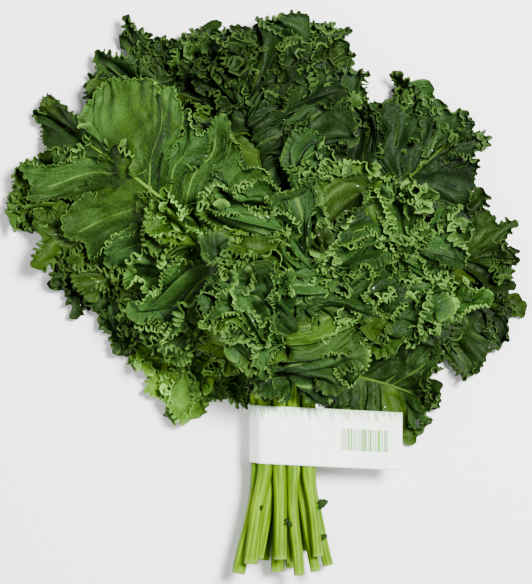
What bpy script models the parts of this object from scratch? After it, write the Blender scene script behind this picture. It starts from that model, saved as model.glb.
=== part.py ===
# Bunch of curly kale lying on a table: sixteen leafy stems laid over one another and held by a paper band.
# Metres, +Z up. The origin is on the table, under the middle of the band; the leaves point along +Y.
import math

import bmesh
import bpy
import numpy as np

# Stems
STEM_RADIUS = 0.0046
STEM_GAP = 0.0007
STEM_ROWS = 4
STEMS_IN_ROW = 4
CUT_END_Y = -0.088
CUT_END_JITTER = 0.007
SPLAY_ACROSS = 0.74
SPLAY_UP = 0.20
SPLAY_LEAN = -0.0015

# Paper band
BAND_WIDTH = 0.040
BAND_WALL = 0.0008
BAND_SLACK = 0.0005
BAND_SKEW = -0.05
FLAG_LENGTH = 0.058
FLAG_FILLET = 0.004
FLAG_LEAVES = math.radians(15)
BAND_HALF_RUN = 0.0235

# Blades: an egg-shaped outline round the midrib, with side veins that sweep forward to it
BLADE_STATIONS = 31
BLADE_HALF_THICKNESS = 0.00042
RIB_TIP_HALF_THICKNESS = 0.0007
MID_ROW = 0.58
INNER_SHARE = 0.8
WIDEST_AT = 0.60
TIP_REACH = 0.52
BASE_REACH = 0.66
CURL_HEIGHT = 0.0075
TOP_CURL_HEIGHT = 0.0125
CURLS_PER_SIDE = 8.8
LOBES_PER_SIDE = 4.5
LOBE_DEPTH = 0.09
NOTCH_DEPTH = 0.04
VEIN_SWEEP = math.radians(24)
TIP_SWEEP = math.radians(84)

# How the leaves settle: the pile's top is kept as a height in each cell of a grid over the table, and each
# round lets a leaf sag and straighten, then lifts it where it would cut into the pile.
CELL = 0.0015
FIELD_HALF = 0.235
FIELD_LOW_Y = -0.12
FIELD_HIGH_Y = 0.36
LAYER_GAP = 0.0018
CURL_ROOM = 0.003
SETTLE_ROUNDS = 80
LIFT_ROUNDS = 60
SAG = 0.003
SAG_OVER = 0.040
SPRING = 0.8
FREE_SHARE = 0.25
FIELD_COLUMNS = int(2 * FIELD_HALF / CELL) + 4
FIELD_ROWS = int((FIELD_HIGH_Y - FIELD_LOW_Y) / CELL) + 4

# Each leaf, from the table up: its place in the band (row, column), where its tip lies seen from above (x, y),
# the way the tip points (degrees, clockwise from +Y), how far it runs straight on from the band, its half
# width, how full its base is and where its blade begins.
LEAVES = (
    (0, 0, -0.145, 0.117, -94, 0.076, 0.057, 1.3, 0.090),
    (0, 3, 0.151, 0.087, 103, 0.067, 0.059, 1.3, 0.086),
    (0, 1, -0.060, 0.271, -20, 0.120, 0.064, 1.3, 0.124),
    (0, 2, 0.015, 0.277, 4, 0.120, 0.060, 1.3, 0.124),
    (1, 0, -0.097, 0.058, -114, 0.036, 0.048, 2.2, 0.042),
    (1, 3, 0.102, 0.022, 116, 0.030, 0.048, 2.4, 0.040),
    (1, 1, -0.097, 0.266, -28, 0.118, 0.057, 1.3, 0.122),
    (1, 2, 0.077, 0.230, 32, 0.108, 0.061, 1.3, 0.118),
    (2, 0, -0.171, 0.162, -79, 0.090, 0.058, 1.3, 0.096),
    (2, 3, 0.150, 0.122, 90, 0.080, 0.060, 1.4, 0.086),
    (2, 1, -0.027, 0.266, -8, 0.125, 0.062, 1.3, 0.124),
    (2, 2, 0.119, 0.206, 45, 0.102, 0.053, 1.3, 0.110),
    (3, 0, -0.152, 0.213, -54, 0.098, 0.065, 1.4, 0.084),
    (3, 3, 0.110, 0.136, 66, 0.075, 0.064, 1.6, 0.072),
    (3, 1, -0.076, 0.146, -46, 0.062, 0.060, 2.2, 0.046),
    (3, 2, 0.016, 0.172, 8, 0.080, 0.062, 2.8, 0.040),
)

# Six columns run along each leaf: margin, mid blade and rib edge on the left, then the same on the right.
COLUMN_SIDE = np.array((-1, -1, -1, 1, 1, 1))
COLUMN_ANGLE = np.radians((75, 45, 15, 15, 45, 75))
COLUMN_SPREAD = np.array((1.0, MID_ROW, 0.0, 0.0, MID_ROW, 1.0))
CURL_SHARE = np.array((1.0, 0.22, 0.0, 0.0, 0.22, 1.0))

LEAF_GREEN = (0.055, 0.13, 0.03, 1)
PAPER_WHITE = (0.86, 0.9, 0.85, 1)


def smooth_step(x):
    """A ramp from 0 to 1 with level ends."""
    x = np.clip(x, 0, 1)
    return x * x * (3 - 2 * x)


def stem_pitch():
    """Distance from one stem's middle to the next along a row, and from one row up to the next."""
    across = 2 * STEM_RADIUS + STEM_GAP
    return across, across * math.sin(math.radians(60))


def stem_place(row, column):
    """Where a stem crosses the band (x, z): rows laid in each other's hollows."""
    across, up = stem_pitch()
    shift = across / 4 if row % 2 else -across / 4
    x = (column - (STEMS_IN_ROW - 1) / 2) * across + shift
    z = BAND_WALL + BAND_SLACK + STEM_RADIUS + row * up
    return x, z


def stem_run(row, column):
    """The stretch from the cut end to the end of the parallel run in the band, as points (x, y, z)."""
    x, z = stem_place(row, column)
    end_y = CUT_END_Y + CUT_END_JITTER * math.sin(2.4 * column + 1.9 * row + 0.7)
    y = np.array((end_y, (end_y - BAND_HALF_RUN) / 2, -BAND_HALF_RUN, BAND_HALF_RUN))
    away = np.clip((-BAND_HALF_RUN - y) / (-BAND_HALF_RUN - CUT_END_Y), 0, None) ** 1.2
    foot = BAND_WALL + BAND_SLACK + STEM_RADIUS
    xs = x + away * (SPLAY_ACROSS * x + SPLAY_LEAN)
    zs = foot + (z - foot) * (1 + SPLAY_UP * away)
    return np.stack((xs, y, zs), axis=1)


def bezier(points, t):
    """Points of the cubic curve with those four control points."""
    a, b, c, d = (np.array(p, float) for p in points)
    t = t[:, None]
    return (1 - t) ** 3 * a + 3 * (1 - t) ** 2 * t * b + 3 * (1 - t) * t * t * c + t**3 * d


def to_outline(start, sweep, half_width, fullness):
    """How far a vein runs from its start on the midrib, in blade lengths, before it meets the egg outline."""
    near, far = np.zeros_like(start), np.full_like(start, 1.5)
    for _ in range(30):
        reach = (near + far) / 2
        x = start + reach * np.sin(sweep) - WIDEST_AT
        y = reach * np.cos(sweep) / half_width
        end_part = np.where(x > 0, (np.abs(x) / TIP_REACH) ** 2, (np.abs(x) / BASE_REACH) ** fullness)
        inside = end_part + y * y < 1
        near, far = np.where(inside, reach, near), np.where(inside, far, reach)
    return near


def leaf_plan(index):
    """The leaf seen from above: node positions (station, column, xy), half thicknesses and curl heights."""
    row, column, tip_x, tip_y, heading, rise, half_width, fullness, blade_from = LEAVES[index]
    run = stem_run(row, column)
    start = run[-1, :2]
    tip = np.array((tip_x, tip_y))
    pointing = np.array((math.sin(math.radians(heading)), math.cos(math.radians(heading))))
    reach = np.linalg.norm(tip - start)
    arc = bezier((start, start + (0, rise), tip - 0.36 * reach * pointing, tip), np.linspace(0, 1, 240))
    length = np.concatenate(([0], np.cumsum(np.linalg.norm(np.diff(arc, axis=0), axis=1))))
    blade_length = length[-1] - (blade_from - BAND_HALF_RUN)
    from_band = np.concatenate((
        [(blade_from - BAND_HALF_RUN) * 0.5],
        np.linspace(blade_from - BAND_HALF_RUN, length[-1], BLADE_STATIONS),
    ))
    curve = np.stack([np.interp(from_band, length, arc[:, k]) for k in (0, 1)], axis=1)
    middle = np.concatenate((run[:, :2], curve))
    step = np.gradient(middle, axis=0)
    step_length = np.linalg.norm(step, axis=1)[:, None]
    ahead = step / step_length
    ahead[: len(run)] = (0, 1)
    aside = np.stack((ahead[:, 1], -ahead[:, 0]), axis=1)
    turn_rate = np.gradient(np.unwrap(np.arctan2(ahead[:, 0], ahead[:, 1])))[:, None] / step_length

    t = np.concatenate((np.zeros(len(run) + 1), np.linspace(0, 1, BLADE_STATIONS)))[:, None]
    formed = smooth_step(t / 0.14)
    sweep = VEIN_SWEEP + (TIP_SWEEP - VEIN_SWEEP) * smooth_step((t - 0.5) / 0.5)
    width = blade_length * to_outline(t, sweep, half_width / blade_length, fullness)
    lobe = 1 + LOBE_DEPTH * np.cos(2 * math.pi * LOBES_PER_SIDE * t + index + COLUMN_SIDE)
    notch = 1 - NOTCH_DEPTH * (1 + np.cos(math.pi * np.arange(len(t))[:, None] + COLUMN_SIDE))
    inner = np.clip(turn_rate * COLUMN_SIDE, 1e-3, None)
    width = np.minimum(width * lobe * notch, INNER_SHARE / inner)
    stem_out = STEM_RADIUS * np.sin(COLUMN_ANGLE)
    rib = STEM_RADIUS * (1 - 0.75 * t)
    out = np.where(
        COLUMN_SPREAD > 0,
        np.maximum(stem_out, stem_out * (1 - formed) + width * COLUMN_SPREAD * formed),
        rib * math.sin(COLUMN_ANGLE[2]),
    )
    sweep = np.where(COLUMN_SPREAD > 0, sweep * formed, 0)
    xy = (
        middle[:, None]
        + (out * COLUMN_SIDE * np.cos(sweep))[..., None] * aside[:, None]
        + (out * np.sin(sweep))[..., None] * ahead[:, None]
    )

    round_half = STEM_RADIUS * np.cos(COLUMN_ANGLE)
    rib_half = STEM_RADIUS * math.cos(COLUMN_ANGLE[2]) * (1 - smooth_step(t * 1.05)) + RIB_TIP_HALF_THICKNESS * t
    half = np.where(COLUMN_SPREAD > 0, round_half * (1 - formed) + BLADE_HALF_THICKNESS * formed, rib_half)
    turn = 2 * math.pi * CURLS_PER_SIDE * t + 1.3 * np.sin(9 * t + index) + 2.1 * COLUMN_SIDE + 0.9 * index
    crest = TOP_CURL_HEIGHT if index == len(LEAVES) - 1 else CURL_HEIGHT
    curl = crest * smooth_step(t / 0.3 + 0.1) * formed * CURL_SHARE * np.sin(turn)
    return xy, half, curl


def leaf_triangles(stations):
    """The leaf's middle surface as triangles of node numbers, cut the same way for its top and underside."""
    i, j = np.meshgrid(np.arange(stations - 1), np.arange(5), indexing="ij")
    a = i * 6 + j
    b, c, d = a + 1, a + 7, a + 6
    return np.concatenate((np.stack((a, b, c), -1).reshape(-1, 3), np.stack((a, c, d), -1).reshape(-1, 3)))


def covered_cells(xy, triangles):
    """The table's cells that each triangle covers: cell numbers, node numbers and the nodes' weights there."""
    found_cells, found_nodes, found_weights = [], [], []
    for nodes in triangles:
        p = xy[nodes]
        low = np.floor((p.min(0) - (-FIELD_HALF, FIELD_LOW_Y)) / CELL).astype(int)
        high = np.ceil((p.max(0) - (-FIELD_HALF, FIELD_LOW_Y)) / CELL).astype(int)
        gx, gy = np.meshgrid(np.arange(low[0], high[0] + 1), np.arange(low[1], high[1] + 1), indexing="ij")
        q = np.stack((gx.ravel() * CELL - FIELD_HALF, gy.ravel() * CELL + FIELD_LOW_Y), axis=1)
        u, v, w = p[1] - p[0], p[2] - p[0], q - p[0]
        area = u[0] * v[1] - u[1] * v[0]
        if abs(area) < 1e-12:
            continue
        b = (w[:, 0] * v[1] - w[:, 1] * v[0]) / area
        c = (u[0] * w[:, 1] - u[1] * w[:, 0]) / area
        weights = np.stack((1 - b - c, b, c), axis=1)
        edge = CELL * 0.75 / max(np.linalg.norm(u), np.linalg.norm(v))
        inside = (weights > -edge).all(1)
        found_cells.append((gx.ravel() * FIELD_ROWS + gy.ravel())[inside])
        found_nodes.append(np.repeat(nodes[None], inside.sum(), 0))
        found_weights.append(np.clip(weights[inside], 0, 1))
    nearest = np.rint((xy - (-FIELD_HALF, FIELD_LOW_Y)) / CELL).astype(int)
    found_cells.append(nearest[:, 0] * FIELD_ROWS + nearest[:, 1])
    found_nodes.append(np.repeat(np.arange(len(xy))[:, None], 3, 1))
    found_weights.append(np.tile((1.0, 0.0, 0.0), (len(xy), 1)))
    return np.concatenate(found_cells), np.concatenate(found_nodes), np.concatenate(found_weights)


def widened(field):
    """The field with each cell raised to its highest neighbour."""
    grid = field.reshape(FIELD_COLUMNS, FIELD_ROWS)
    out = grid.copy()
    for shift in (-1, 1):
        out = np.maximum(out, np.roll(grid, shift, 0))
        out = np.maximum(out, np.roll(grid, shift, 1))
    return out.ravel()


def settle(index, plan, pile):
    """Lets one leaf sink on to the pile like a stiff cloth, then lifts it clear: its node heights."""
    xy, half, curl = plan
    flat = xy.reshape(-1, 2)
    cells, nodes, weights = covered_cells(flat, leaf_triangles(len(xy)))
    run = stem_run(*LEAVES[index][:2])
    fixed = len(run)
    free = (nodes // 6 >= fixed) * weights
    beyond = free.sum(1) > FREE_SHARE
    cells, nodes, weights = cells[beyond], nodes[beyond], weights[beyond]
    under = (half.ravel()[nodes] * weights).sum(1)
    need = widened(pile)[cells] + under
    spread = (weights**2).sum(1)
    share = weights / spread[:, None]

    base = np.repeat(np.concatenate((run[:, 2], np.full(len(xy) - fixed, run[-1, 2])))[:, None], 6, 1)
    held = base[:fixed].copy()
    spot = np.rint((flat - (-FIELD_HALF, FIELD_LOW_Y)) / CELL).astype(int)
    floor = pile[spot[:, 0] * FIELD_ROWS + spot[:, 1]].reshape(base.shape)

    def lift(base):
        z = (base + curl).ravel()
        short = need - (z[nodes] * weights).sum(1)
        rise = np.zeros(z.size)
        wanting = short > 0
        np.maximum.at(rise, nodes[wanting], share[wanting] * short[wanting, None])
        base = base + rise.reshape(base.shape)
        base[:fixed] = held
        return base

    for _ in range(SETTLE_ROUNDS):
        along = base.copy()
        along[1:-1] = (base[:-2] + base[2:]) / 2
        along[-1] = base[-2] + SPRING * (base[-2] - base[-3])
        across = base.copy()
        across[:, 0] = base[:, 1] + SPRING * (base[:, 1] - base[:, 2])
        across[:, 5] = base[:, 4] + SPRING * (base[:, 4] - base[:, 3])
        across[:, 1] = (base[:, 0] + base[:, 2]) / 2
        across[:, 4] = (base[:, 5] + base[:, 3]) / 2
        across[:, 2] = across[:, 3] = (base[:, 2] + base[:, 3]) / 2
        base = 0.45 * base + 0.35 * along + 0.20 * across
        base -= SAG * np.clip((base - floor) / SAG_OVER, 0, 1)
        base[:fixed] = held
        base = lift(lift(base))
    for _ in range(LIFT_ROUNDS):
        base = lift(base)
    height = np.maximum(base + curl, leaf_thickness(xy, half, base + curl))

    top = (height.ravel()[nodes] * weights).sum(1) + under
    bladed = np.clip(2 - under / BLADE_HALF_THICKNESS / 2, 0, 1)
    room = LAYER_GAP + CURL_ROOM * bladed * (CURL_SHARE[nodes % 6] * weights).sum(1)
    np.maximum.at(pile, cells, top + room)
    return height


def leaf_thickness(xy, half, height):
    """Half thickness measured upright, larger where the blade is steep so that it stays as thick across."""
    along = np.gradient(height, axis=0) / np.maximum(np.linalg.norm(np.gradient(xy, axis=0), axis=2), 1e-4)
    return half * np.where(half < 2 * BLADE_HALF_THICKNESS, np.sqrt(1 + np.minimum(np.abs(along), 1.6) ** 2), 1)


def leaf_mesh(plan, height):
    """One closed solid: the top nodes over the underside nodes, walled all round."""
    xy, half, _ = plan
    stations = len(xy)
    thick = leaf_thickness(xy, half, height)
    top = np.concatenate((xy, (height + thick)[..., None]), axis=2).reshape(-1, 3)
    under = np.concatenate((xy, np.maximum(height - thick, 0)[..., None]), axis=2).reshape(-1, 3)
    count = stations * 6
    surface = leaf_triangles(stations)
    faces = [tuple(f) for f in surface[:, ::-1]] + [tuple(f + count) for f in surface]
    rim = (
        [i * 6 for i in range(stations)]
        + [(stations - 1) * 6 + j for j in range(1, 6)]
        + [i * 6 + 5 for i in range(stations - 2, -1, -1)]
        + [j for j in range(4, 0, -1)]
    )
    for a, b in zip(rim, rim[1:] + rim[:1]):
        faces += [(a, b, b + count), (a, b + count, a + count)]
    mesh = bpy.data.meshes.new("leaf")
    mesh.from_pydata(np.concatenate((top, under)).tolist(), [], [tuple(int(n) for n in f) for f in faces])
    shell = bmesh.new()
    shell.from_mesh(mesh)
    bmesh.ops.recalc_face_normals(shell, faces=shell.faces)
    shell.to_mesh(mesh)
    shell.free()
    return mesh


def hull(points):
    """The outline of a stretched string round the points, anticlockwise."""
    ordered = sorted(map(tuple, points))

    def half(run):
        kept = []
        for p in run:
            while len(kept) > 1:
                (ax, az), (bx, bz) = kept[-2:]
                if (bx - ax) * (p[1] - az) - (bz - az) * (p[0] - ax) > 0:
                    break
                kept.pop()
            kept.append(p)
        return kept[:-1]

    return half(ordered) + half(ordered[::-1])


def round_stems(radius):
    """A taut outline round all the stems where they cross the band, at that radius from each stem's middle."""
    turns = np.linspace(0, 2 * math.pi, 24, endpoint=False)
    points = []
    for leaf in LEAVES:
        x, z = stem_place(*leaf[:2])
        points += [(x + radius * math.cos(a), z + radius * math.sin(a)) for a in turns]
    return hull(np.round(points, 7))


def band_outline():
    """The band's outer outline in XZ: round the stems, with the flag running on to the right from its top."""
    radius = STEM_RADIUS + BAND_SLACK + BAND_WALL
    x, z = stem_place(STEM_ROWS - 1, STEMS_IN_ROW - 1)
    ring = round_stems(radius)
    top, lower = z + radius, z + radius - 2 * BAND_WALL
    leave = np.array((radius * math.cos(FLAG_LEAVES), radius * math.sin(FLAG_LEAVES))) + (x, z)
    cut = [n for n, p in enumerate(ring) if p[0] > x and p[1] > leave[1] - 1e-6]
    corner, join = np.array((leave[0], lower)), np.array((leave[0] + FLAG_FILLET, lower))
    fillet = [
        tuple((1 - a) ** 2 * leave + 2 * a * (1 - a) * corner + a * a * join)
        for a in np.linspace(0, 1, 5)
    ]
    flag = [(x + radius + FLAG_LENGTH, lower), (x + radius + FLAG_LENGTH, top), (x, top)]
    before, after = ring[: cut[0]], [p for p in ring[cut[-1] + 1:] if p[0] < x - 1e-6]
    return before + fillet + flag + after


def band_mesh():
    """The strip's outline with the stems' space cut out of it, drawn out along Y and slightly askew."""
    shell = bmesh.new()
    edges = []
    for outline in (band_outline(), round_stems(STEM_RADIUS + BAND_SLACK)):
        verts = [shell.verts.new((x, -BAND_WIDTH / 2 + BAND_SKEW * x, z)) for x, z in outline]
        edges += [shell.edges.new(pair) for pair in zip(verts, verts[1:] + verts[:1])]
    bmesh.ops.triangle_fill(shell, use_beauty=True, use_dissolve=False, edges=edges)
    drawn = bmesh.ops.extrude_face_region(shell, geom=shell.faces[:])["geom"]
    moved = [g for g in drawn if isinstance(g, bmesh.types.BMVert)]
    bmesh.ops.translate(shell, vec=(0, BAND_WIDTH, 0), verts=moved)
    bmesh.ops.recalc_face_normals(shell, faces=shell.faces)
    mesh = bpy.data.meshes.new("band")
    shell.to_mesh(mesh)
    shell.free()
    return mesh


def finish_material(name, colour, roughness):
    """A plain finish with that colour and roughness."""
    material = bpy.data.materials.new(name)
    material.use_nodes = True
    shader = material.node_tree.nodes["Principled BSDF"]
    shader.inputs["Base Color"].default_value = colour
    shader.inputs["Roughness"].default_value = roughness
    shader.inputs["Metallic"].default_value = 0.0
    return material


def place(name, mesh, material):
    """Puts the mesh in the scene as one named solid."""
    part = bpy.data.objects.new(name, mesh)
    part.data.materials.append(material)
    bpy.context.scene.collection.objects.link(part)
    return part


def main():
    """Builds the leaves from the table up, then the band."""
    for old in list(bpy.data.objects):
        bpy.data.objects.remove(old)
    leaf_finish = finish_material("kale_leaf", LEAF_GREEN, 0.55)
    pile = np.zeros(FIELD_COLUMNS * FIELD_ROWS)
    for index in range(len(LEAVES)):
        plan = leaf_plan(index)
        height = settle(index, plan, pile)
        leaf = place(f"kale_leaf_{index + 1:02d}", leaf_mesh(plan, height), leaf_finish)
        leaf.data.shade_smooth()
    place("paper_band", band_mesh(), finish_material("paper_band", PAPER_WHITE, 0.6))


main()
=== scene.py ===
import math

import bpy
import numpy as np
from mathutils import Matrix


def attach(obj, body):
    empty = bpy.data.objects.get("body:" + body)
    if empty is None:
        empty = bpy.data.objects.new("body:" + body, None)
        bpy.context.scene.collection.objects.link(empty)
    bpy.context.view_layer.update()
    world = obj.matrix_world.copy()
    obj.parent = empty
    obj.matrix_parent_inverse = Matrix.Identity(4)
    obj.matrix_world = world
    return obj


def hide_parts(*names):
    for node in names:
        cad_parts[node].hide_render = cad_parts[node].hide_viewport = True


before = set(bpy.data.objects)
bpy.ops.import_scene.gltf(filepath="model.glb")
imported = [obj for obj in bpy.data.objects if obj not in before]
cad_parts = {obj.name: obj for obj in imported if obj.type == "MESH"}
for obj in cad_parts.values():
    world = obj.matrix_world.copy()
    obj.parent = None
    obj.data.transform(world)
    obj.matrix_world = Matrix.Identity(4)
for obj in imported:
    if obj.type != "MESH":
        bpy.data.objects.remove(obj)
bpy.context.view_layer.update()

bl_info = {
    "name": "Kale bunch",
    "version": (1, 0, 0),
    "blender": (4, 5, 0),
    "location": "View3D > Sidebar > Kale",
    "description": "Builds a bunch of curly kale with a paper band",
    "category": "Object",
}

# Sizes shared with the CAD source
STEM_RADIUS = 0.0046
STEM_GAP = 0.0007
STEMS_IN_ROW = 4
STEM_ROWS = 4
CUT_END_Y = -0.088
CUT_END_JITTER = 0.007
SPLAY_ACROSS = 0.74
SPLAY_UP = 0.20
SPLAY_LEAN = -0.0015
BAND_WIDTH = 0.040
BAND_WALL = 0.0008
BAND_SLACK = 0.0005
BAND_SKEW = -0.05
BAND_HALF_RUN = 0.0235
FLAG_LENGTH = 0.058
FLAG_FILLET = 0.004
FLAG_LEAVES = math.radians(15)
BLADE_STATIONS = 31
RUN_STATIONS = 4
MID_ROW = 0.58
INNER_SHARE = 0.8
WIDEST_AT = 0.60
TIP_REACH = 0.52
BASE_REACH = 0.66
LOBES_PER_SIDE = 4.5
LOBE_DEPTH = 0.09
NOTCH_DEPTH = 0.04
VEIN_SWEEP = math.radians(24)
TIP_SWEEP = math.radians(84)
COLUMN_SIDE = np.array((-1, -1, -1, 1, 1, 1))
COLUMN_ANGLE = np.radians((75, 45, 15, 15, 45, 75))
COLUMN_SPREAD = np.array((1.0, MID_ROW, 0.0, 0.0, MID_ROW, 1.0))

# Each leaf as in the CAD source, from the table up: row and column in the band, tip (x, y), the way it points
# (degrees clockwise from +Y), straight run from the band, half width, fullness of the base, blade start
LEAVES = (
    (0, 0, -0.145, 0.117, -94, 0.076, 0.057, 1.3, 0.090),
    (0, 3, 0.151, 0.087, 103, 0.067, 0.059, 1.3, 0.086),
    (0, 1, -0.060, 0.271, -20, 0.120, 0.064, 1.3, 0.124),
    (0, 2, 0.015, 0.277, 4, 0.120, 0.060, 1.3, 0.124),
    (1, 0, -0.097, 0.058, -114, 0.036, 0.048, 2.2, 0.042),
    (1, 3, 0.102, 0.022, 116, 0.030, 0.048, 2.4, 0.040),
    (1, 1, -0.097, 0.266, -28, 0.118, 0.057, 1.3, 0.122),
    (1, 2, 0.077, 0.230, 32, 0.108, 0.061, 1.3, 0.118),
    (2, 0, -0.171, 0.162, -79, 0.090, 0.058, 1.3, 0.096),
    (2, 3, 0.150, 0.122, 90, 0.080, 0.060, 1.4, 0.086),
    (2, 1, -0.027, 0.266, -8, 0.125, 0.062, 1.3, 0.124),
    (2, 2, 0.119, 0.206, 45, 0.102, 0.053, 1.3, 0.110),
    (3, 0, -0.152, 0.213, -54, 0.098, 0.065, 1.4, 0.084),
    (3, 3, 0.110, 0.136, 66, 0.075, 0.064, 1.6, 0.072),
    (3, 1, -0.076, 0.146, -46, 0.062, 0.060, 2.2, 0.046),
    (3, 2, 0.016, 0.172, 8, 0.080, 0.062, 2.8, 0.040),
)

# How each blade is dressed: crispness (it scales frill, ruffles and bends; 1 is usual), share of its width
# cut between lobes, how far its margin stands up (m), how light it is (partly its own tone and partly painted
# light and shade: lifted for leaves that lie in shade, lowered for leaves meant to look shaded), how yellow,
# lobes on each side, how far it laps over its midrib, the pitch of its frill (m) and its columns
DRESS = (
    (1.0, 0.60, 0.001, 0.62, 0.2, 8.0, 0.3, 0.0052, 1601),
    (0.8, 0.45, 0.001, 0.50, 0.2, 6.5, 0.0, 0.0056, 1601),
    (1.0, 0.55, 0.001, 0.62, 0.1, 8.0, 0.3, 0.0052, 2201),
    (1.0, 0.60, 0.001, 0.68, 0.0, 9.0, 0.3, 0.0048, 3001),
    (1.0, 0.76, 0.001, 2.30, 0.3, 9.5, 0.5, 0.0044, 4001),
    (0.6, 0.30, 0.001, 0.62, 0.2, 6.0, 0.3, 0.0060, 1601),
    (0.9, 0.55, 0.001, 0.62, 0.2, 7.5, 0.3, 0.0052, 2401),
    (1.0, 0.65, 0.001, 0.88, 0.0, 9.0, 0.5, 0.0048, 2801),
    (1.0, 0.74, 0.002, 0.84, 0.5, 9.0, 0.3, 0.0048, 3801),
    (0.7, 0.50, 0.002, 0.48, 0.3, 7.5, 0.3, 0.0050, 2601),
    (1.0, 0.82, 0.003, 0.47, 0.1, 11.0, 1.0, 0.0040, 5601),
    (0.8, 0.50, 0.001, 0.52, 0.0, 7.5, 0.0, 0.0052, 2401),
    (0.5, 0.50, 0.003, 1.28, 0.15, 5.0, 0.0, 0.0044, 3601),
    (1.15, 0.86, 0.002, 1.32, 0.0, 13.5, 1.0, 0.0034, 8201),
    (1.0, 0.82, 0.002, 1.62, 0.2, 10.5, 1.0, 0.0040, 5601),
    (1.15, 0.86, 0.001, 1.06, 0.0, 13.0, 1.6, 0.0034, 7601),
)

# Small leaves on the stems: the leaf that it grows on, where (y), to which side, and its length
LEAFLETS = (
    (13, -0.047, 1.0, 0.0085),
    (13, -0.071, 1.0, 0.0055),
    (15, -0.062, -0.6, 0.0050),
    (14, -0.058, 0.7, 0.0055),
    (12, -0.050, 0.5, 0.0045),
)

# Rows of a blade, margin first: frill rows by their height in the frill (m), then blade rows by their share
# of the way from the margin to the midrib; and the height at which a frill has turned upwards
FRILL_ROWS = np.array((0.0088, 0.0079, 0.0061, 0.0038, 0.0016))
MIDDLE_ROWS = (0.0, 0.07, 0.15, 0.24, 0.34)
INNER_ROWS = (0.45, 0.56, 0.67, 0.78, 0.89, 1.0)
SHARE_IN = np.array(MIDDLE_ROWS + INNER_ROWS)
FRILL_FOOT = 0.0016
CRINKLE_PITCH = 0.0040

# The two families of ruffles: pitch, reach in from the margin, height (m), share that moves outwards, seed
RUFFLES = (
    (0.033, 0.050, 0.0066, 0.25, 0),
    (0.0125, 0.030, 0.0038, 0.45, 10),
)

# How near a CAD point has to be to one of the plan's points to be taken for it, and to stand for it at all
SAME_SPOT = 4e-5
PLAN_ERROR = 3e-4

# Rounds of making a blade's columns even, height below which blades flatten out over the table, the lowest a
# stem and the paper may lie, and how far the leaves from that one on stay clear of the band
EVENING_ROUNDS = 3
TABLE_GAP = 0.0006
STEM_LOWEST = 0.0002
BAND_LOWEST = 0.0001
FIRST_OVER_BAND = 13
BAND_CLEARANCE = 0.0025

# How far the cut stems stray and wind, and the counts of points in the smaller meshes
STEM_STRAY = 0.0055
STEM_WOBBLE = 0.0016
STEM_RINGS = 110
STEM_SIDES = 14
LEAFLET_RINGS = 130
LEAFLET_GRID = (29, 21)
BAND_COUNT = 260
BAND_ACROSS = 31

# Colours that don't change with the settings
RIPE_YELLOW = (0.040, 0.084, 0.002)
NET_GREEN = (0.034, 0.080, 0.006)
VEIN_GREEN = (0.066, 0.135, 0.018)
# Painted shade: near-black green laid in the blade's folds and at the foot of its frill
PAINTED_SHADE_GREEN = (0.0020, 0.0085, 0.0005)
STEM_DARK = (0.022, 0.070, 0.0)
STEM_PATCH = (0.03, 0.085, 0.0)
CUT_FACE = (0.26, 0.38, 0.05)
PAPER_SHADE = (0.80, 0.90, 0.80)
BAR_GREY = (0.27, 0.36, 0.24)
BAR_GREEN = (0.09, 0.36, 0.004)
FLOOR_WHITE = (0.93, 0.93, 0.93)

# The stage: lamps as name, place, size and power, what they aim at, and the camera
LAMPS = (
    ("key", (0.55, 0.45, 1.6), 0.40, 122.0),
    ("fill", (-0.9, -0.3, 1.3), 1.2, 12.0),
)
LAMP_AIM = (-0.01, 0.1, 0.04)
SKY_STRENGTH = 0.50
FLOOR_HALF = 3
FLOOR_Z = -0.0005
CAMERA_PLACE = (-0.0116, 0.0979, 1.64)
CAMERA_LENS = 145
CAMERA_SENSOR = 36


def smooth_step(x):
    """A ramp from 0 to 1 with level ends."""
    x = np.clip(x, 0, 1)
    return x * x * (3 - 2 * x)


def unit(vectors):
    """The vectors shortened or stretched to length one."""
    return vectors / np.maximum(np.linalg.norm(vectors, axis=-1, keepdims=True), 1e-9)


def wander(x, seed):
    """A smooth seeded wandering between about -1 and 1: five sines of unrelated lengths, added."""
    chance = np.random.default_rng(seed)
    pitch = chance.uniform(0.6, 1.0) * np.array((1.0, 1.63, 2.31, 3.17, 0.47))
    shift = chance.uniform(0, 6.28, 5)
    return sum(a * np.sin(p * x + b) for a, p, b in zip((1, 0.8, 0.6, 0.5, 0.9), pitch, shift)) / 1.9


def run_length(line):
    """Length along a line of points up to each of them."""
    return np.concatenate(([0], np.cumsum(np.linalg.norm(np.diff(line, axis=0), axis=1))))


def bezier(points, t):
    """Points of the cubic curve with those four control points."""
    a, b, c, d = (np.array(p, float) for p in points)
    t = t[:, None]
    return (1 - t) ** 3 * a + 3 * (1 - t) ** 2 * t * b + 3 * (1 - t) * t * t * c + t**3 * d


def through(points, where):
    """A smooth curve through equally numbered points, read at fractional numbers: Catmull and Rom's cubic."""
    first = np.clip(np.floor(where).astype(int), 0, len(points) - 2)
    f = (where - first).reshape((-1,) + (1,) * (points.ndim - 1))
    before, after = points[np.maximum(first - 1, 0)], points[np.minimum(first + 2, len(points) - 1)]
    a, b = points[first], points[first + 1]
    bend = 2 * before - 5 * a + 4 * b - after
    twist = 3 * (a - b) + after - before
    return a + 0.5 * f * (b - before + f * (bend + f * twist))


def evenly(line, count):
    """Fractional point numbers that part the line through the points into equal lengths."""
    fine = np.linspace(0, len(line) - 1, 40 * len(line))
    steps = np.linalg.norm(np.diff(through(line, fine), axis=0), axis=1)
    length = np.concatenate(([0], np.cumsum(steps + 0.25 * steps.mean())))
    return np.interp(np.linspace(0, length[-1], count), length, fine)


def stem_place(row, column):
    """Where a stem crosses the band (x, z): rows laid in each other's hollows."""
    across = 2 * STEM_RADIUS + STEM_GAP
    shift = across / 4 if row % 2 else -across / 4
    x = (column - (STEMS_IN_ROW - 1) / 2) * across + shift
    return x, BAND_WALL + BAND_SLACK + STEM_RADIUS + row * across * math.sin(math.radians(60))


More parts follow.
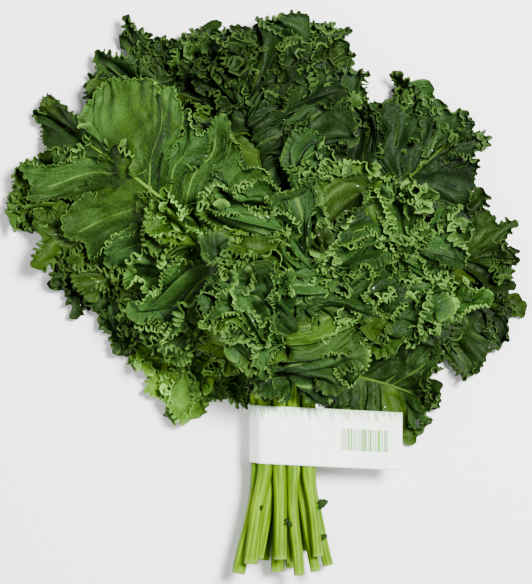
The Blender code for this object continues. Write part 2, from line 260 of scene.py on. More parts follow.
def stem_run(row, column):
    """The stretch from the cut end to the end of the parallel run in the band, as points (x, y, z)."""
    x, z = stem_place(row, column)
    end_y = CUT_END_Y + CUT_END_JITTER * math.sin(2.4 * column + 1.9 * row + 0.7)
    y = np.array((end_y, (end_y - BAND_HALF_RUN) / 2, -BAND_HALF_RUN, BAND_HALF_RUN))
    away = np.clip((-BAND_HALF_RUN - y) / (-BAND_HALF_RUN - CUT_END_Y), 0, None) ** 1.2
    foot = BAND_WALL + BAND_SLACK + STEM_RADIUS
    xs = x + away * (SPLAY_ACROSS * x + SPLAY_LEAN)
    zs = foot + (z - foot) * (1 + SPLAY_UP * away)
    return np.stack((xs, y, zs), axis=1)


def to_outline(start, sweep, half_width, fullness):
    """How far a vein runs from its start on the midrib, in blade lengths, before it meets the egg outline."""
    near, far = np.zeros_like(start), np.full_like(start, 1.5)
    for _ in range(30):
        reach = (near + far) / 2
        x = start + reach * np.sin(sweep) - WIDEST_AT
        y = reach * np.cos(sweep) / half_width
        end_part = np.where(x > 0, (np.abs(x) / TIP_REACH) ** 2, (np.abs(x) / BASE_REACH) ** fullness)
        inside = end_part + y * y < 1
        near, far = np.where(inside, reach, near), np.where(inside, far, reach)
    return near


def leaf_plan(index, notch_depth, tip_sweep):
    """The leaf seen from above as in the CAD source: node positions (station, column, xy)."""
    row, column, tip_x, tip_y, heading, rise, half_width, fullness, blade_from = LEAVES[index]
    run = stem_run(row, column)
    start = run[-1, :2]
    tip = np.array((tip_x, tip_y))
    pointing = np.array((math.sin(math.radians(heading)), math.cos(math.radians(heading))))
    reach = np.linalg.norm(tip - start)
    arc = bezier((start, start + (0, rise), tip - 0.36 * reach * pointing, tip), np.linspace(0, 1, 240))
    length = run_length(arc)
    blade_length = length[-1] - (blade_from - BAND_HALF_RUN)
    from_band = np.concatenate((
        [(blade_from - BAND_HALF_RUN) * 0.5],
        np.linspace(blade_from - BAND_HALF_RUN, length[-1], BLADE_STATIONS),
    ))
    curve = np.stack([np.interp(from_band, length, arc[:, k]) for k in (0, 1)], axis=1)
    middle = np.concatenate((run[:, :2], curve))
    step = np.gradient(middle, axis=0)
    step_length = np.linalg.norm(step, axis=1)[:, None]
    ahead = step / step_length
    ahead[: len(run)] = (0, 1)
    aside = np.stack((ahead[:, 1], -ahead[:, 0]), axis=1)
    turn_rate = np.gradient(np.unwrap(np.arctan2(ahead[:, 0], ahead[:, 1])))[:, None] / step_length

    t = np.concatenate((np.zeros(len(run) + 1), np.linspace(0, 1, BLADE_STATIONS)))[:, None]
    formed = smooth_step(t / 0.14)
    sweep = VEIN_SWEEP + (tip_sweep - VEIN_SWEEP) * smooth_step((t - 0.5) / 0.5)
    width = blade_length * to_outline(t, sweep, half_width / blade_length, fullness)
    lobe = 1 + LOBE_DEPTH * np.cos(2 * math.pi * LOBES_PER_SIDE * t + index + COLUMN_SIDE)
    notch = 1 - notch_depth * (1 + np.cos(math.pi * np.arange(len(t))[:, None] + COLUMN_SIDE))
    inner = np.clip(turn_rate * COLUMN_SIDE, 1e-3, None)
    width = np.minimum(width * lobe * notch, INNER_SHARE / inner)
    stem_out = STEM_RADIUS * np.sin(COLUMN_ANGLE)
    rib = STEM_RADIUS * (1 - 0.75 * t)
    out = np.where(
        COLUMN_SPREAD > 0,
        np.maximum(stem_out, stem_out * (1 - formed) + width * COLUMN_SPREAD * formed),
        rib * math.sin(COLUMN_ANGLE[2]),
    )
    sweep = np.where(COLUMN_SPREAD > 0, sweep * formed, 0)
    return (
        middle[:, None]
        + (out * COLUMN_SIDE * np.cos(sweep))[..., None] * aside[:, None]
        + (out * np.sin(sweep))[..., None] * ahead[:, None]
    )


def cad_heights(node, xy):
    """The CAD solid's middle height at each of its plan points: halfway from its underside to its top."""
    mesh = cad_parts[node].data
    corners = np.empty(len(mesh.vertices) * 3, np.float32)
    mesh.vertices.foreach_get("co", corners)
    corners = corners.reshape(-1, 3)
    gap = np.linalg.norm(corners[None, :, :2] - xy.reshape(-1, 1, 2), axis=2)
    here = gap < gap.min(1, keepdims=True) + SAME_SPOT
    if gap.min(1).max() > PLAN_ERROR:
        raise RuntimeError(f"{node} doesn't have the plan that this script expects")
    high = np.where(here, corners[None, :, 2], -1).max(1)
    low = np.where(here, corners[None, :, 2], 9).min(1)
    return ((high + low) / 2).reshape(xy.shape[:2])


def relaxed(values, rounds):
    """Each value moved to the mean of itself and its neighbours' mean, with the two ends kept."""
    for _ in range(rounds):
        values = np.concatenate((values[:1], (values[:-2] + 2 * values[1:-1] + values[2:]) / 4, values[-1:]))
    return values


def leaf_nodes(index):
    """The leaf's middle line (points x, y, z) and its blade's nodes.

    The nodes are numbered (station from the left side over the tip to the right, rib to margin, xyz).
    """
    node = f"kale_leaf_{index + 1:02d}"
    height = cad_heights(node, leaf_plan(index, NOTCH_DEPTH, TIP_SWEEP))
    xy = leaf_plan(index, 0.0, math.radians(90))
    rib = height[:, 2:4].mean(1)
    rib[RUN_STATIONS:] = relaxed(rib[RUN_STATIONS:], 4)
    line = np.concatenate((xy[:, 2:4].mean(1), rib[:, None]), axis=1)
    height[:, 2] = height[:, 3] = rib
    height[RUN_STATIONS:, 1] = relaxed(height[RUN_STATIONS:, 1], 2)
    height[RUN_STATIONS:, 4] = relaxed(height[RUN_STATIONS:, 4], 2)
    if index == len(LEAVES) - 1:
        height[RUN_STATIONS:, 0] = relaxed(height[RUN_STATIONS:, 0], 1)
        height[RUN_STATIONS:, 5] = relaxed(height[RUN_STATIONS:, 5], 1)
    nodes = np.concatenate((xy, height[..., None]), axis=2)[RUN_STATIONS + 1:]
    left, right = nodes[:, 2::-1], nodes[::-1, 3:]
    tip = (left[-1] + right[0]) / 2
    return line, np.concatenate((left[:-1], tip[None], right[1:]))


def blade_grid(nodes, where, lobes, depth, settings):
    """The plain blade: smooth curves through the nodes along it, and a parabola from midrib to margin.

    Its width is cut by depth ((1 - cos 2 pi lobes) / 2)^2 between lobes, and a little between their teeth.
    Returns points (column, row, xyz), with row 0 at the margin, and the width left at each column.
    """
    rib, mid, margin = (through(nodes[:, k], where)[:, None] for k in range(3))
    full = np.linalg.norm(margin - rib, axis=2)
    cut = depth * ((1 - np.cos(2 * math.pi * lobes)) / 2) ** 2
    teeth = 1 - settings.tooth_cut * (1 - np.cos(2 * math.pi * (settings.teeth_per_lobe * lobes))) / 2
    left = ((1 - cut) * teeth)[:, None] * (1 - settings.frill_lean / np.maximum(full, 0.012))
    s = ((1 - SHARE_IN) * left)[..., None]
    points = (
        rib * (s - MID_ROW) * (s - 1) / MID_ROW
        + mid * s * (1 - s) / (MID_ROW * (1 - MID_ROW))
        + margin * s * (s - MID_ROW) / (1 - MID_ROW)
    )
    return points, full * left


def sheet_axes(points):
    """Unit directions on a blade: outwards to its margin, and up from its face."""
    along = unit(np.gradient(points, axis=0))
    up = unit(np.cross(along, -np.gradient(points, axis=1)))
    return np.cross(up, along), up


def ruffled(points, out, up, turns, way_in, fade, reach, height, outward, seed):
    """Adds one family of ruffles, which fade from the margin inwards.

    With phase p running once round every turn, a point moves up by height (cos p + a fifth) and outwards by
    outward height sin p.
    """
    phase = 2 * math.pi * turns + 1.6 * wander(1.7 * turns, seed)
    phase = phase[:, None] + 1.3 * wander(1.1 * turns, seed + 1)[:, None] * way_in / reach
    swell = 0.85 + 0.45 * wander(1.3 * turns, seed + 2)[:, None]
    size = height * smooth_step(1 - way_in / reach) * np.clip(swell, 0.25, None) * fade
    rise, spread = size * (np.cos(phase) + 0.2), size * outward * np.sin(phase)
    return points + up * rise[..., None] + out * spread[..., None]


def blisters(points, pitch, seed):
    """Soft bumps, about -1 to 1: fourteen plane waves of about that pitch in seeded directions, added."""
    chance = np.random.default_rng(seed)
    angle, phase = chance.uniform(0, 2 * math.pi, (2, 14))
    rate = 2 * math.pi / (pitch * chance.uniform(0.7, 1.5, 14))
    waves = [
        np.sin(k * (points[..., 0] * math.cos(a) + points[..., 1] * math.sin(a)) + p)
        for k, a, p in zip(rate, angle, phase)
    ]
    return sum(waves) / 3.2


def with_frill(points, up, room, high, pitch, settings, seed):
    """Adds the standing frill to a blade's margin: rows of points above it, which swing from side to side.

    A point at height h in the frill first runs on outwards from the margin, then rises at the angle of rise.
    With phase p running once round every pitch of margin, and t = h / frill height, it moves across the frill
    by swing pitch t^1.2 cos p and along it by overhang pitch t^1.2 sin 2p, so that the edge winds like a slow
    river. The outermost millimetre bends out flat.
    """
    up = unit(up[:, 0] + (0.0, 0.0, settings.uprightness))[:, None]
    along = unit(relaxed(np.gradient(points[:, 0], axis=0), 6))[:, None]
    out = unit(np.cross(up, along))
    length = run_length(points[:, 0])
    turns = length / pitch
    phase = (2 * math.pi * turns + 2.6 * wander(0.9 * turns, seed))[:, None]
    swell = (1 + 0.55 * wander(0.9 * turns, seed + 1))[:, None]
    size = high * room * (0.95 + 0.32 * wander(length / 0.013, seed + 2))[:, None]
    h = FRILL_ROWS[None] * size
    t = (FRILL_ROWS / FRILL_ROWS[0])[None] ** 1.2
    rise = settings.frill_rise + 0.6 * wander(length / 0.011, seed + 3)[:, None]
    foot = FRILL_FOOT * (1 - np.exp(-h / FRILL_FOOT))
    outward = np.cos(rise) * h + (1 - np.cos(rise)) * foot
    upward = np.sin(rise) * (h - foot)
    across = settings.frill_swing * pitch * swell * size * t * np.cos(phase)
    onward = settings.frill_overhang * pitch * size * t * np.sin(2 * phase)
    fine = 2 * math.pi * (length / CRINKLE_PITCH)[:, None] + 2.0 * np.sin(phase)
    crinkle = settings.crinkle * size * t * np.sin(fine)
    frill = (
        points[:, :1]
        + out * (outward - np.sin(rise) * (across + crinkle))[..., None]
        + up * (upward + np.cos(rise) * (across + crinkle))[..., None]
        + along * onward[..., None]
    )
    side = np.cross(unit(np.gradient(frill[:, 1], axis=0)), (0.0, 0.0, 1.0))
    lip = np.clip(FRILL_ROWS - FRILL_ROWS[1], 0, None)[None, :, None] * settings.lip * size[..., None]
    frill += lip * (unit(side)[:, None] - (0.0, 0.0, 0.6))
    return np.concatenate((frill, points), axis=1)


def blade_triangles(columns):
    """Triangles of a blade: all columns in its frill, every second in its middle, every eighth by its rib."""
    frill, middle = len(FRILL_ROWS), len(FRILL_ROWS) + len(MIDDLE_ROWS)
    rows = middle + len(INNER_ROWS)
    steps = [1 if row < frill else 2 if row < middle else 8 for row in range(rows)]
    found = []
    for row, (outer_step, inner_step) in enumerate(zip(steps, steps[1:])):
        j = np.arange(0, columns - 1, inner_step)
        near, far = j * rows + row + 1, (j + inner_step) * rows + row + 1
        outer = [(j + k) * rows + row for k in range(0, inner_step + 1, outer_step)]
        half = len(outer) // 2
        found.append((near, far, outer[half]))
        found += [(near, b, a) for a, b in zip(outer[:half], outer[1:half + 1])]
        found += [(far, b, a) for a, b in zip(outer[half:], outer[half + 1:])]
    return np.concatenate([np.stack(t, axis=1) for t in found])


def quads(rows, columns, closed):
    """Faces of a grid of points; a closed one's last column is joined to its first."""
    i, j = np.meshgrid(np.arange(rows - 1) * columns, np.arange(columns - (not closed)), indexing="ij")
    k = (j + 1) % columns
    return np.stack((i + j, i + columns + j, i + columns + k, i + k), axis=-1).reshape(-1, 4)


def new_piece(name, points, faces, finish, attributes=(), uv=None):
    """A mesh object from arrays of points and of faces with equal corner counts, attributes and UVs."""
    used, faces_used = np.unique(faces, return_inverse=True)
    faces = faces_used.reshape(faces.shape)
    points = points.reshape(-1, 3)[used]
    mesh = bpy.data.meshes.new(name)
    mesh.vertices.add(len(points))
    mesh.vertices.foreach_set("co", points.astype(np.float32).ravel())
    mesh.loops.add(faces.size)
    mesh.loops.foreach_set("vertex_index", faces.astype(np.int32).ravel())
    mesh.polygons.add(len(faces))
    mesh.polygons.foreach_set("loop_start", np.arange(0, faces.size, faces.shape[1], dtype=np.int32))
    mesh.update(calc_edges=True)
    mesh.validate()
    for label, values in attributes:
        layer = mesh.attributes.new(label, "FLOAT", "POINT")
        layer.data.foreach_set("value", values.ravel()[used].astype(np.float32))
    if uv is not None:
        layer = mesh.uv_layers.new(name="sheet")
        layer.data.foreach_set("uv", uv.reshape(-1, 2)[used][faces.ravel()].astype(np.float32).ravel())
    mesh.materials.append(finish)
    mesh.shade_smooth()
    piece = bpy.data.objects.new(name, mesh)
    bpy.context.scene.collection.objects.link(piece)
    return piece


class Wire:
    """A shader socket that can stand in a Python expression; each operator adds its Math node."""

    def __init__(self, tree, socket):
        self.tree = tree
        self.socket = socket

    def math(self, operation, *values, first=None):
        node = self.tree.nodes.new("ShaderNodeMath")
        node.operation = operation
        values = ((self if first is None else first),) + values
        for slot, value in zip(node.inputs, values):
            if isinstance(value, Wire):
                self.tree.links.new(value.socket, slot)
            else:
                slot.default_value = value
        return Wire(self.tree, node.outputs[0])

    def __add__(self, other):
        return self.math("ADD", other)

    __radd__ = __add__

    def __mul__(self, other):
        return self.math("MULTIPLY", other)

    __rmul__ = __mul__

    def __sub__(self, other):
        return self.math("SUBTRACT", other)

    def __rsub__(self, other):
        return self.math("SUBTRACT", self, first=other)

    def ramp(self, low, high):
        """Smooth ramp from 0 at low to 1 at high."""
        node = self.tree.nodes.new("ShaderNodeMapRange")
        node.interpolation_type = "SMOOTHSTEP"
        self.tree.links.new(self.socket, node.inputs["Value"])
        node.inputs["From Min"].default_value = low
        node.inputs["From Max"].default_value = high
        return Wire(self.tree, node.outputs[0])


class Finish:
    """A material being made: node adds any node, and the other methods are short forms of it."""

    def __init__(self, name, **constants):
        self.material = bpy.data.materials.new(name)
        self.material.use_nodes = True
        self.tree = self.material.node_tree
        self.shader = self.tree.nodes["Principled BSDF"]
        for socket, value in constants.items():
            self.shader.inputs[socket.replace("_", " ")].default_value = value

    def node(self, kind, settings, inputs, output=0):
        """Adds a node of that type, sets it, then gives its sockets values or wires; returns one output."""
        node = self.tree.nodes.new(kind)
        for key, value in settings.items():
            setattr(node, key, value)
        for key, value in inputs.items():
            if isinstance(value, Wire):
                self.tree.links.new(value.socket, node.inputs[key])
            else:
                node.inputs[key].default_value = value
        return Wire(self.tree, node.outputs[output])

    def attribute(self, name):
        return self.node("ShaderNodeAttribute", {"attribute_name": name}, {}, "Fac")

    def place(self):
        return self.node("ShaderNodeTexCoord", {}, {}, "Object")

    def sheet(self):
        return self.node("ShaderNodeUVMap", {"uv_map": "sheet"}, {})

    def parts(self, vector):
        """The x, y and z of a vector."""
        return [self.node("ShaderNodeSeparateXYZ", {}, {"Vector": vector}, k) for k in range(3)]

    def join(self, x, y, z):
        return self.node("ShaderNodeCombineXYZ", {}, {"X": x, "Y": y, "Z": z})

    def noise(self, vector, scale, detail):
        inputs = {"Vector": vector, "Scale": scale, "Detail": detail}
        return self.node("ShaderNodeTexNoise", {}, inputs, "Fac")

    def mix(self, share, first, second):
        """The first colour with that share of the second."""
        return self.node("ShaderNodeMix", {"data_type": "RGBA"}, {0: share, 6: first, 7: second}, 2)

    def scaled(self, colour, share):
        """The colour with each of its parts multiplied by share."""
        return self.node("ShaderNodeVectorMath", {"operation": "SCALE"}, {0: colour, "Scale": share})

    def bump(self, height, distance, strength):
        return self.node("ShaderNodeBump", {}, {"Height": height, "Distance": distance, "Strength": strength})

    def feed(self, socket, wire):
        self.tree.links.new(wire.socket, self.shader.inputs[socket])


def rgb(colour):
    """The colour as a socket takes it, with full alpha."""
    return tuple(colour) + (1.0,)


def blade_finish(settings):
    """Waxy kale blade: dark blue-green with paler veins, a fine puckered net and a light yellowish margin.

    The margin also carries a painted highlight, and the folds carry painted shade.
    """
    f = Finish("kale_blade", Metallic=0.0, Specular_IOR_Level=0.10, Coat_Roughness=0.08)
    place = f.place()
    broad = f.noise(place, 22.0, 3.0)
    fine = f.noise(place, 260.0, 3.0)
    colour = f.mix(broad.ramp(0.3, 0.75), rgb(settings.deep_green), rgb(settings.pale_green))
    colour = f.mix(f.attribute("yellow"), colour, rgb(RIPE_YELLOW))
    net = f.node("ShaderNodeTexVoronoi", {"feature": "DISTANCE_TO_EDGE"}, {"Vector": place, "Scale": 230.0})
    veins = 1 - net.ramp(0.0, 0.09)
    side_vein = f.attribute("vein")
    colour = f.mix(veins * 0.25, colour, rgb(NET_GREEN))
    colour = f.mix(side_vein.ramp(0.35, 1.0) * 0.8, colour, rgb(VEIN_GREEN))
    # Painted shade where the folds sink and at the frill's foot
    colour = f.mix(f.attribute("painted_shade") * 0.9, colour, rgb(PAINTED_SHADE_GREEN))
    patchy = 0.45 + 0.45 * f.noise(place, 75.0, 1.0).ramp(0.38, 0.62)
    # Pale margin in patches: partly its own paler colour, partly a painted highlight
    colour = f.mix(f.attribute("edge") * patchy, colour, rgb(settings.edge_and_highlight_green))
    # Lightness scales the colour; it is partly painted light and shade
    f.feed("Base Color", f.scaled(colour, f.attribute("light")))
    f.feed("Roughness", 0.48 + 0.22 * fine)
    f.feed("Coat Weight", f.noise(place, 520.0, 0.0).ramp(0.74, 0.80) * 0.6)
    pucker = f.noise(place, 170.0, 1.0)
    height = net.ramp(0.0, 0.3) * 0.5 + fine * 0.2 + pucker * 0.8
    f.feed("Normal", f.bump(height, 0.0010, 0.5))
    return f.material


def stem_finish(settings):
    """Stem and midrib: bright yellow-green with pale streaks along it, paler at the cut and on the midrib."""
    f = Finish("kale_stem", Metallic=0.0, Specular_IOR_Level=0.06)
    around, length, _ = f.parts(f.sheet())
    streaks = f.noise(f.join(around * 550.0, length * 18.0, 0.0), 1.0, 3.0)
    patches = f.noise(f.place(), 45.0, 2.0)
    colour = f.mix(streaks.ramp(0.42, 0.68), rgb(settings.stem_green), rgb(settings.stem_streak))
    colour = f.mix(1 - streaks.ramp(0.24, 0.40), colour, rgb(STEM_DARK))
    colour = f.mix(patches.ramp(0.45, 0.8) * 0.5, colour, rgb(STEM_PATCH))
    colour = f.mix(f.attribute("rib"), colour, rgb(settings.rib_green))
    colour = f.mix(f.attribute("cut"), colour, rgb(CUT_FACE))
    # The midrib's lightness is partly painted light and shade
    f.feed("Base Color", f.scaled(colour, f.attribute("light")))
    f.feed("Roughness", 0.36 + 0.2 * streaks)
    f.feed("Normal", f.bump(streaks, 0.0004, 0.5))
    return f.material


def lobes_tiled(from_rib, up, lobes, around, room, high, settings):
    """How far each point moves so that the lobes lap over each other like tiles.

    A lobe's two halves move apart across its vein by overlap sin 2 pi lobes, and one up and the other down by
    tilt sin 2 pi lobes. Both fade to nothing at the midrib and towards the leaf's tip.
    """
    off_tip = smooth_step(np.abs(around) / 0.2)[:, None]
    lean = np.sin(2 * math.pi * lobes)[:, None] * room * (1 - SHARE_IN[None]) ** 1.2 * off_tip
    across = np.cross(np.broadcast_to((0.0, 0.0, 1.0), up.shape), unit(from_rib))
    return (across * -settings.lobe_overlap * high + up * settings.lobe_tilt) * lean[..., None]


def rib_fold(plain, width, around, lap, seed, settings):
    """How far each point moves where a side of the blade folds over the midrib; the two sides take turns.

    The fold lifts a point by nine tenths of its size and draws it twice as far towards the midrib. It is full
    in the middle of the side, and nothing at the midrib and the margin.
    """
    from_rib = 1 - SHARE_IN[None]
    turn = wander(7 * np.abs(around), seed) * np.sign(around)
    fold = lap * settings.rib_lap * np.clip(2.6 * turn + 0.4, 0, 1)[:, None]
    fold = fold * smooth_step(width / 0.04) * smooth_step(from_rib * 6) * smooth_step((0.75 - from_rib) * 2.5)
    inwards = plain[:, -1:] - plain
    inwards = inwards / np.maximum(np.linalg.norm(inwards, axis=2, keepdims=True), 1e-3)
    return fold[..., None] * (1.8 * inwards + (0.0, 0.0, 0.9))


def folded_blade(nodes, where, around, index, settings):
    """The blade before its frill: the plain sheet, its lobes lapped like tiles, its ruffles and its bumps.

    Its base hangs back along the stem, and what lies past top_from is drawn in by a fifth. Returns the
    points, the way up from the sheet, the frill's room, the height over the plain sheet, the way in from the
    margin and the lobe count.
    """
    high, depth, lift, _, _, lobes_per_side, lap, _, _ = DRESS[index]
    seed = 40 * index + 7
    lobes = settings.lobes * lobes_per_side * around + 0.8 * wander(6 * around, 40 * index)
    plain, width = blade_grid(nodes, where, lobes, depth, settings)
    room = smooth_step((width - 0.003) / 0.012)
    way_in = SHARE_IN[None] * width
    length = run_length(plain[:, 0])
    out, up = sheet_axes(blade_grid(nodes, where, 0 * lobes, 0.0, settings)[0])
    points = plain.copy()
    stand = lift * (0.8 + 0.9 * wander(length / 0.020, seed)[:, None])
    points[..., 2] += stand * smooth_step(1 - way_in / 0.026) * room
    points = points + lobes_tiled(points - plain[:, -1:] + 1e-9, up, lobes, around, room, high, settings)
    off_rib = smooth_step((width - way_in) / 0.010)
    high, fade = high * settings.ruffle_height, room * off_rib
    for pitch, reach, height, outward, shift in RUFFLES:
        height = height * high * min(high, 1)
        points = ruffled(points, out, up, length / pitch, way_in, fade, reach, height, outward, seed + shift)
    points[..., 2] += settings.blister_height * blisters(points, settings.blister_pitch, seed + 5) * off_rib
    warp = settings.warp * high * smooth_step((width - way_in) / 0.035)
    points[..., 0] += warp * blisters(plain, settings.warp_pitch, seed + 30)
    points[..., 1] += warp * blisters(plain, settings.warp_pitch, seed + 31)
    points += rib_fold(plain, width, around, lap, seed + 8, settings)
    at_base = smooth_step((np.abs(around)[:, None] - 0.84) / 0.12)
    points[..., 1] -= settings.base_droop * at_base * (1 - SHARE_IN[None]) ** 0.5
    points[..., 1] -= 0.2 * np.clip(points[..., 1] - settings.top_from, 0, None)
    return points, up, room, points[..., 2] - plain[..., 2], way_in, lobes


def blade_paint(index, around, lobes, way_in, raised, settings):
    """The blade's colour attributes: pale edge, painted shade, side veins, lightness and yellowness.

    The edge fades as exp(-(depth below the frill's top / edge width)^1.5); it is partly a painted highlight.
    Painted shade lies at the frill's foot and where the folds sink below the plain sheet, and a side vein
    where the lobe count is whole, in the middle of a lobe. Lightness is partly painted light and shade.
    """
    high, _, _, light, yellow, _, _, _, columns = DRESS[index]
    seed = 40 * index + 7
    bare, frill = np.zeros(way_in.shape), np.zeros((columns, len(FRILL_ROWS)))
    branch = np.abs((lobes[:, None] + 0.5) % 1 - 0.5)
    inward = SHARE_IN[None]
    vein = np.clip(1 - branch / (0.016 + 0.05 * inward), 0, 1) * smooth_step(inward * 6)
    # Pale frill top: partly its own paler colour, partly a painted highlight
    pale = np.exp(-(((FRILL_ROWS[0] - FRILL_ROWS)[None] / settings.edge_width) ** 1.5))
    # Painted shade: darker towards the foot of the frill and where folds sink below the plain sheet
    painted_foot_shade = 0.45 * smooth_step(1 - FRILL_ROWS / 0.0040)[None]
    low = min(high, 1) ** 2 * np.clip(-raised / 0.0024, 0, 1)
    from_margin = np.concatenate((frill - FRILL_ROWS, way_in), axis=1)
    mottle = wander(from_margin * 200 + 15 * around[:, None], seed + 3)
    ripe = wander(from_margin * 20 + 12 * around[:, None], seed + 4)
    ripe_patch = 0.35 * smooth_step((ripe - 0.6) / 0.4)
    return (
        ("edge", np.concatenate((frill + pale, bare), axis=1)),
        ("painted_shade", np.concatenate((frill + painted_foot_shade, low), axis=1)),
        ("vein", np.concatenate((frill, vein), axis=1)),
        # Lightness: the leaf's setting, partly painted light and shade, with random mottling and a change
        # from lobe to lobe
        ("light", light * (1 + 0.12 * mottle) * (1 + 0.36 * wander(2.4 * lobes, seed + 6)[:, None])),
        ("yellow", np.clip(yellow * (0.7 + 0.5 * ripe) + ripe_patch, 0, 1)),
    )


def build_blade(index, finish, settings):
    """One blade: folded first to find its margin's true length, then again on even columns, then frilled."""
    high, _, _, _, _, _, _, pitch, columns = DRESS[index]
    _, nodes = leaf_nodes(index)
    where = evenly(nodes[:, 2], columns)
    around = np.linspace(-1, 1, columns)
    for _ in range(EVENING_ROUNDS):
        length = run_length(folded_blade(nodes, where, around, index, settings)[0][:, 0])
        even = np.linspace(0, length[-1], columns)
        where, around = np.interp(even, length, where), np.interp(even, length, around)
    blade, up, room, raised, way_in, lobes = folded_blade(nodes, where, around, index, settings)
    points = with_frill(blade, up, room, high, pitch * settings.frill_pitch, settings, 40 * index + 27)
    sunk = TABLE_GAP * np.exp(np.clip(points[..., 2] / TABLE_GAP - 1, -8, 0))
    points[..., 2] = np.where(points[..., 2] < TABLE_GAP, sunk, points[..., 2])
    if index >= FIRST_OVER_BAND:
        points[..., 1] = np.maximum(points[..., 1], BAND_WIDTH / 2 + BAND_CLEARANCE)
    from_margin = np.concatenate((np.zeros((columns, 1)) - FRILL_ROWS, way_in), axis=1)
    along = np.broadcast_to(run_length(blade[:, 0])[:, None], from_margin.shape)
    uv = np.stack((along, from_margin), axis=2)
    paint = blade_paint(index, around, lobes, way_in, raised, settings)
    return new_piece(f"blade_{index + 1:02d}", points, blade_triangles(columns), finish, paint, uv)


def stem_line(index, rings):
    """The middle line of a stem and midrib as even points, its radius and its share t of the blade there.

    The radius is the CAD stem's in the band and a little less below it, and in the blade it falls as (1 - t)
    to the 0.8. Below the band each stem strays to one side as its distance squared, and winds a little.
    """
    line, _ = leaf_nodes(index)
    where = evenly(line, rings)
    middle = through(line, where)
    t = np.clip((where - RUN_STATIONS - 1) / (BLADE_STATIONS - 1), 0, 1)[:, None]
    away = np.clip((-BAND_HALF_RUN - middle[:, 1]) / (-BAND_HALF_RUN - CUT_END_Y), 0, 1.2)
    middle[:, 0] += STEM_STRAY * math.sin(4.1 * index + 1) * away**2
    middle[:, 0] += STEM_WOBBLE * np.sin(4.0 * away) * math.cos(2.3 * index)
    radius = STEM_RADIUS * (1 - smooth_step(t * 5) * 0.6) * np.maximum(1 - t, 0.0) ** 0.8 + 0.00025
    radius = radius * (1 - 0.4 * DRESS[index][6] * smooth_step(t * 5))
    radius = radius * (1 - smooth_step(away * 3)[:, None] * (0.15 - 0.12 * math.sin(3.3 * index)))
    return middle, radius, t


def build_stem(index, finish):
    """One stem and midrib: a ribbed round tube along the leaf's middle line, thinning to the tip.

    Round it the radius swells by 6% cos 5a, which fades in the blade, and by 3% cos 3a. Its cut end is closed
    by a rim, a core and a middle point, and its tip by one point.
    """
    middle, radius, t = stem_line(index, STEM_RINGS)
    angle = np.linspace(0, 2 * math.pi, STEM_SIDES, endpoint=False)[None]
    fading = 0.06 * np.cos(5 * angle + index) * smooth_step(1 - t * 3)
    ribbed = 1 + fading + 0.03 * np.cos(3 * angle + 2.0 * index)
    ahead = unit(np.gradient(middle, axis=0))
    aside = unit(np.cross(ahead, (0.0, 0.0, 1.0)))
    over = np.cross(aside, ahead)
    sink = radius * 0.25 * smooth_step(t * 4)
    circle = (
        (middle - over * sink)[:, None]
        + (radius * ribbed * np.cos(angle))[..., None] * aside[:, None]
        + (radius * ribbed * np.sin(angle))[..., None] * over[:, None]
    )
    nothing = np.zeros_like(circle[:1])
    rim = middle[0] + (circle[:1] - middle[0]) * 0.86 - ahead[0] * 0.0004
    core = middle[0] + (circle[:1] - middle[0]) * 0.35 + ahead[0] * 0.0003
    hub = nothing + middle[0] + ahead[0] * 0.0006
    points = np.concatenate((hub, core, rim, circle, nothing + middle[-1]))
    points[..., 2] = np.maximum(points[..., 2], STEM_LOWEST)
    total = len(points)
    length = np.concatenate(([0, 0, 0], run_length(middle), [0]))
    length[-1] = length[-2]
    arc = (angle * STEM_RADIUS).repeat(total, 0)
    uv = np.stack((arc, length[:, None].repeat(STEM_SIDES, 1)), axis=2)
    rib = np.concatenate(([0, 0, 0], smooth_step(t[:, 0] * 5), [1]))[:, None].repeat(STEM_SIDES, 1)
    cut = np.concatenate(([1, 1, 1, 0.4], np.zeros(total - 4)))[:, None].repeat(STEM_SIDES, 1)
    # The midrib takes its leaf's lightness, partly painted light and shade, and is darkened by painted shade
    # where the blade laps over it
    light = 1 - rib * (1 - DRESS[index][3] * (1 - 0.55 * DRESS[index][6]))
    attributes = (("rib", rib), ("cut", cut), ("light", light))
    return new_piece(f"stem_{index + 1:02d}", points, quads(total, STEM_SIDES, True), finish, attributes, uv)


def build_leaflet(number, finish):
    """A small crinkled leaf on a stem: a drop-shaped sheet which stands out to one side and curls upwards.

    At the share u of its length its half width is 0.42 sin(pi u^0.7)^0.7 of that length, a little scalloped.
    """
    index, y, side, size = LEAFLETS[number]
    middle, radius, _ = stem_line(index, LEAFLET_RINGS)
    at = np.argmin(np.abs(middle[:, 1] - y))
    rows, columns = LEAFLET_GRID
    u, v = np.meshgrid(np.linspace(0, 1, rows), np.linspace(-1, 1, columns), indexing="ij")
    half = 0.42 * size * np.sin(math.pi * u**0.7) ** 0.7 * (1 + 0.10 * np.cos(19 * u + 3 * number))
    curl = 0.35 * np.sin(2.2 * u) + 0.22 * v * v + 0.10 * np.cos(9 * v + 8 * u + number) * (np.abs(v) + 0.2)
    points = np.stack((
        middle[at, 0] + side * (radius[at, 0] * 0.6 + size * u),
        middle[at, 1] + v * half + 0.35 * size * u,
        middle[at, 2] + radius[at, 0] * math.sqrt(max(0.0, 1 - side * side)) + size * curl,
    ), axis=2)
    faces = quads(rows, columns, False)
    if side < 0:
        faces = faces[:, ::-1]
    plain = np.zeros(u.shape)
    # As on the blades: a pale edge with a painted highlight at the sides, and a fixed share of painted shade
    # over the whole leaflet
    attributes = (
        ("edge", np.clip((np.abs(v) - 0.8) / 0.2, 0, 1) * 0.6),
        ("painted_shade", plain + 0.3),
        ("vein", plain),
        ("light", plain + 1.0),
        ("yellow", plain + 0.1),
    )
    uv = np.stack((u, v), axis=2) * size
    return new_piece(f"leaflet_{number + 1}", points, faces, finish, attributes, uv)


